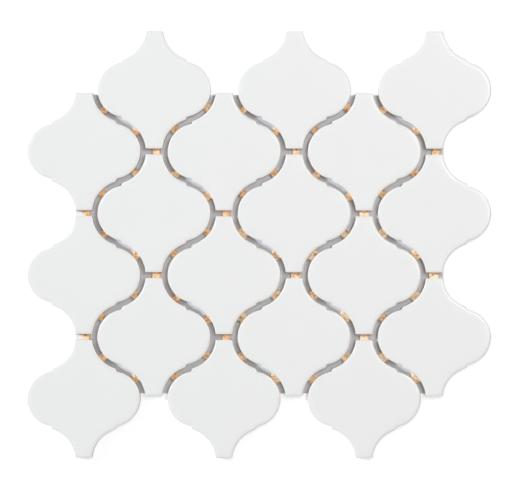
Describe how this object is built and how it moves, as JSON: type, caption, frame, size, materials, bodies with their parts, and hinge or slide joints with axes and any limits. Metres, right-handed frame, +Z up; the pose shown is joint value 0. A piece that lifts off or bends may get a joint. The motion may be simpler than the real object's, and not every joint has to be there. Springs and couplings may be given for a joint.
{
  "type": "lantern mosaic tile sheet",
  "caption": "Flat sheet of white glazed lantern-shaped mosaic tiles in staggered columns, held together by glue dots in the open joints, for covering a wall or floor.",
  "frame": {"origin": "middle of the sheet, on the plane of the tile backs", "axes": "+Z up out of the glazed face, +X across the columns, +Y along the tiles from neck to neck"},
  "size_m": [0.3088, 0.2846, 0.006],
  "materials": {
    "glazed_porcelain": "gloss glaze",
    "glue": "amber hot-melt glue"
  },
  "bodies": {
    "root": {"flank_dots_columns_1_2": "glue", "flank_dots_columns_2_3": "glue", "flank_dots_columns_3_4": "glue", "flank_dots_columns_4_5": "glue", "flank_dots_columns_5_6": "glue", "neck_dots_column_1": "glue", "neck_dots_column_2": "glue", "neck_dots_column_3": "glue", "neck_dots_column_4": "glue", "neck_dots_column_5": "glue", "neck_dots_column_6": "glue", "tiles_columns_1_2": "glazed_porcelain", "tiles_columns_3_4": "glazed_porcelain", "tiles_columns_5_6": "glazed_porcelain"}
  },
  "joints": []
}
